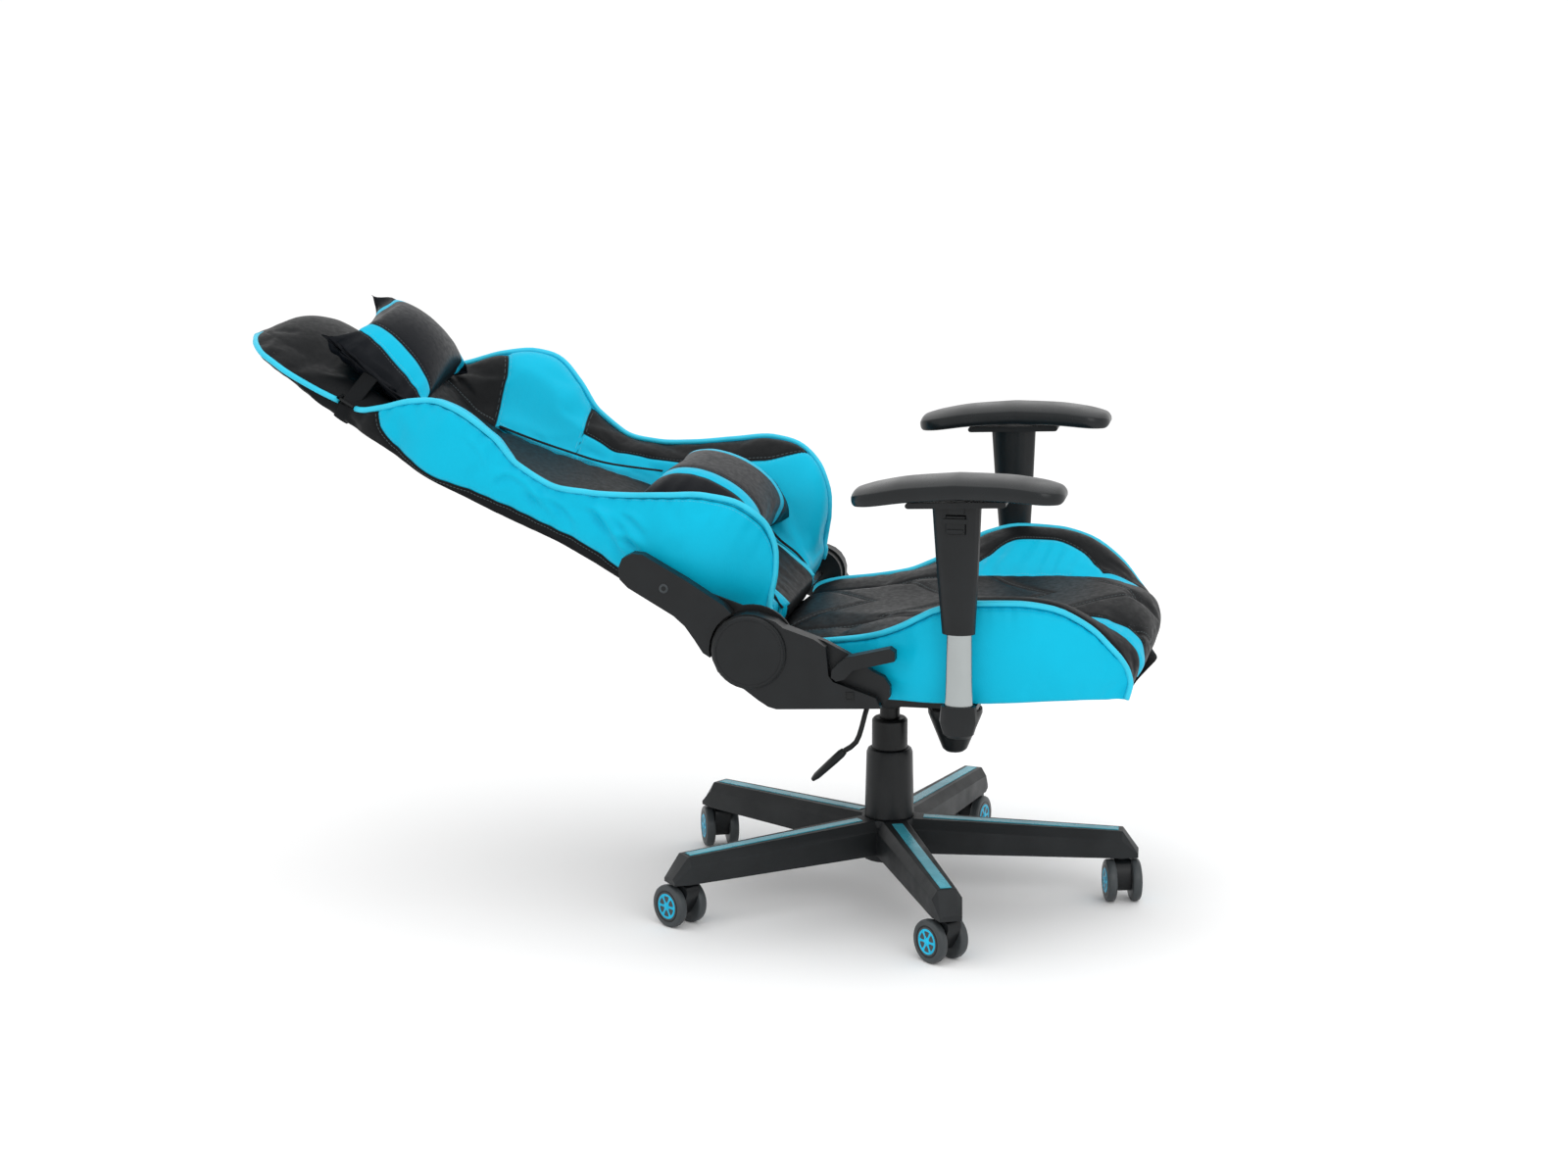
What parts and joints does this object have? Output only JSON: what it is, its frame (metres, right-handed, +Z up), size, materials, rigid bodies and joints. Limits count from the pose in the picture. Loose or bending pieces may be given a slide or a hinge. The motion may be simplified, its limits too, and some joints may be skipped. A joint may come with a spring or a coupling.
{
  "type": "gaming chair",
  "caption": "Reclining racing-style office chair with bucket seat, winged backrest, height-adjustable armrests, gas lift and a caster base.",
  "frame": {"origin": "on the floor, under the middle of the overall box", "axes": "+Z up, +Y from the front of the seat to the head of the reclined backrest, +X to the sitter's left"},
  "size_m": [0.688, 1.2405, 0.8085],
  "materials": {
    "base_nylon": "glass-filled nylon, fine spark-eroded texture, satin",
    "black_steel": "black powder coat, satin",
    "chrome": "bright plating",
    "bright_steel": "zinc plated",
    "black_plastic": "fine grained moulding, satin",
    "wheel_tread": "cast polyurethane, satin",
    "pad_rubber": "skinned polyurethane foam, soft satin",
    "seat_board": "plywood under black non-woven cloth, dull",
    "black_upholstery": "black grained synthetic leather over foam, semi-gloss",
    "blue_upholstery": "cyan-blue grained synthetic leather over foam, semi-gloss",
    "pillow_upholstery": "blue-black synthetic leather with two cyan bands, semi-gloss"
  },
  "bodies": {
    "base": {"star_base": "base_nylon", "gas_cylinder": "black_steel", "column_cover": "black_plastic"},
    "caster_1": {"caster_housing_1": "black_plastic"},
    "wheel_1a": {"caster_wheel_1a": "wheel_tread"},
    "wheel_1b": {"caster_wheel_1b": "wheel_tread"},
    "caster_2": {"caster_housing_2": "black_plastic"},
    "wheel_2a": {"caster_wheel_2a": "wheel_tread"},
    "wheel_2b": {"caster_wheel_2b": "wheel_tread"},
    "caster_3": {"caster_housing_3": "black_plastic"},
    "wheel_3a": {"caster_wheel_3a": "wheel_tread"},
    "wheel_3b": {"caster_wheel_3b": "wheel_tread"},
    "caster_4": {"caster_housing_4": "black_plastic"},
    "wheel_4a": {"caster_wheel_4a": "wheel_tread"},
    "wheel_4b": {"caster_wheel_4b": "wheel_tread"},
    "caster_5": {"caster_housing_5": "black_plastic"},
    "wheel_5a": {"caster_wheel_5a": "wheel_tread"},
    "wheel_5b": {"caster_wheel_5b": "wheel_tread"},
    "lift": {"gas_piston": "black_steel"},
    "mechanism": {"mechanism_housing": "black_steel", "tilt_shaft": "bright_steel", "tension_spring": "bright_steel"},
    "tension_knob": {"tension_knob": "black_plastic"},
    "lift_lever": {"lift_lever_rod": "black_steel", "lift_lever_grip": "black_plastic"},
    "seat": {"tilt_plate": "black_steel", "seat_pan": "seat_board", "seat_cushion": "black_upholstery", "seat_bolster_right": "blue_upholstery", "seat_bolster_left": "blue_upholstery", "recliner_bracket_right": "black_steel", "recliner_bracket_left": "black_steel", "lower_cover_right": "black_plastic", "lower_cover_left": "black_plastic", "cross_shaft": "bright_steel", "armrest_bracket_right": "black_steel", "armrest_bracket_left": "black_steel", "armrest_cup_right": "black_plastic", "armrest_cup_left": "black_plastic", "armrest_tube_right": "chrome", "armrest_tube_left": "chrome"},
    "recline_lever": {"recline_lever": "black_plastic"},
    "back": {"back_frame": "black_steel", "rear_cover": "black_upholstery", "back_cushion": "black_upholstery", "head_cushion": "black_upholstery", "back_wing_right": "blue_upholstery", "back_wing_left": "blue_upholstery", "back_arm_right": "black_steel", "back_arm_left": "black_steel", "upper_cover_right": "black_plastic", "upper_cover_left": "black_plastic", "neck_pillow": "pillow_upholstery", "lumbar_cushion": "pillow_upholstery"},
    "armrest_right": {"armrest_sleeve_right": "black_plastic", "armrest_pad_right": "pad_rubber"},
    "armrest_button_right": {"armrest_button_right": "black_plastic"},
    "armrest_left": {"armrest_sleeve_left": "black_plastic", "armrest_pad_left": "pad_rubber"},
    "armrest_button_left": {"armrest_button_left": "black_plastic"}
  },
  "joints": [
    {"name": "caster_swivel_1", "type": "hinge", "parent": "base", "child": "caster_1", "pos_m": [0.16872, 0.02626, 0.06], "axis": [0, 0, 1], "continuous": true},
    {"name": "wheel_roll_1a", "type": "hinge", "parent": "caster_1", "child": "wheel_1a", "pos_m": [0.18567, 0.01369, 0.02914], "axis": [-0.3746, 0.9272, 0], "continuous": true},
    {"name": "wheel_roll_1b", "type": "hinge", "parent": "caster_1", "child": "wheel_1b", "pos_m": [0.17218, 0.04707, 0.02914], "axis": [-0.3746, 0.9272, 0], "continuous": true},
    {"name": "caster_swivel_2", "type": "hinge", "parent": "base", "child": "caster_2", "pos_m": [-0.20869, -0.00278, 0.06], "axis": [0, 0, 1], "continuous": true},
    {"name": "wheel_roll_2a", "type": "hinge", "parent": "caster_2", "child": "wheel_2a", "pos_m": [-0.1877, -0.00483, 0.02914], "axis": [-0.7986, 0.6018, 0], "continuous": true},
    {"name": "wheel_roll_2b", "type": "hinge", "parent": "caster_2", "child": "wheel_2b", "pos_m": [-0.21645, 0.01683, 0.02914], "axis": [-0.7986, 0.6018, 0], "continuous": true},
    {"name": "caster_swivel_3", "type": "hinge", "parent": "base", "child": "caster_3", "pos_m": [-0.2977, -0.3707, 0.06], "axis": [0, 0, 1], "continuous": true},
    {"name": "wheel_roll_3a", "type": "hinge", "parent": "caster_3", "child": "wheel_3a", "pos_m": [-0.27697, -0.37457, 0.02914], "axis": [-0.7431, 0.6691, 0], "continuous": true},
    {"name": "wheel_roll_3b", "type": "hinge", "parent": "caster_3", "child": "wheel_3b", "pos_m": [-0.30372, -0.35049, 0.02914], "axis": [-0.7431, 0.6691, 0], "continuous": true},
    {"name": "caster_swivel_4", "type": "hinge", "parent": "base", "child": "caster_4", "pos_m": [0.0247, -0.56905, 0.06], "axis": [0, 0, 1], "continuous": true},
    {"name": "wheel_roll_4a", "type": "hinge", "parent": "caster_4", "child": "wheel_4a", "pos_m": [0.00917, -0.55478, 0.02914], "axis": [0.2756, -0.9613, 0], "continuous": true},
    {"name": "wheel_roll_4b", "type": "hinge", "parent": "caster_4", "child": "wheel_4b", "pos_m": [0.01909, -0.58939, 0.02914], "axis": [0.2756, -0.9613, 0], "continuous": true},
    {"name": "caster_swivel_5", "type": "hinge", "parent": "base", "child": "caster_5", "pos_m": [0.31297, -0.32372, 0.06], "axis": [0, 0, 1], "continuous": true},
    {"name": "wheel_roll_5a", "type": "hinge", "parent": "caster_5", "child": "wheel_5a", "pos_m": [0.30701, -0.30348, 0.02914], "axis": [-0.2588, -0.9659, 0], "continuous": true},
    {"name": "wheel_roll_5b", "type": "hinge", "parent": "caster_5", "child": "wheel_5b", "pos_m": [0.29769, -0.33826, 0.02914], "axis": [-0.2588, -0.9659, 0], "continuous": true},
    {"name": "gas_lift", "type": "slide", "parent": "base", "child": "lift", "axis": [0, 0, 1], "range_m": [-0.015, 0.085]},
    {"name": "swivel", "type": "hinge", "parent": "lift", "child": "mechanism", "pos_m": [0, -0.248, 0.28], "axis": [0, 0, 1], "continuous": true},
    {"name": "seat_tilt", "type": "hinge", "parent": "mechanism", "child": "seat", "pos_m": [0, -0.208, 0.298], "axis": [-1, 0, 0], "range_deg": [0, 12], "stiffness_Nm_per_rad": 400, "springref_deg": -17.19},
    {"name": "tension_knob_turn", "type": "hinge", "parent": "mechanism", "child": "tension_knob", "pos_m": [0, -0.339, 0.24], "axis": [0, 0, 1], "continuous": true},
    {"name": "lift_lever_pull", "type": "hinge", "parent": "mechanism", "child": "lift_lever", "pos_m": [-0.044, -0.239, 0.299], "axis": [0, 1, 0], "range_deg": [0, 6], "stiffness_Nm_per_rad": 5, "springref_deg": -5.73},
    {"name": "back_recline", "type": "hinge", "parent": "seat", "child": "back", "pos_m": [0, -0.105, 0.399], "axis": [1, 0, 0], "range_deg": [-10, 57]},
    {"name": "recline_lever_pull", "type": "hinge", "parent": "seat", "child": "recline_lever", "pos_m": [-0.272, -0.221, 0.374], "axis": [-1, 0, 0], "range_deg": [0, 25], "stiffness_Nm_per_rad": 0.8, "springref_deg": -11.46},
    {"name": "armrest_height_right", "type": "slide", "parent": "seat", "child": "armrest_right", "axis": [0, 0, 1], "range_m": [-0.075, 0]},
    {"name": "armrest_button_press_right", "type": "slide", "parent": "armrest_right", "child": "armrest_button_right", "axis": [1, 0, 0], "range_m": [0, 0.002], "stiffness_N_per_m": 400, "springref_m": -0.002},
    {"name": "armrest_height_left", "type": "slide", "parent": "seat", "child": "armrest_left", "axis": [0, 0, 1], "range_m": [-0.075, 0]},
    {"name": "armrest_button_press_left", "type": "slide", "parent": "armrest_left", "child": "armrest_button_left", "axis": [-1, 0, 0], "range_m": [0, 0.002], "stiffness_N_per_m": 400, "springref_m": -0.002}
  ]
}
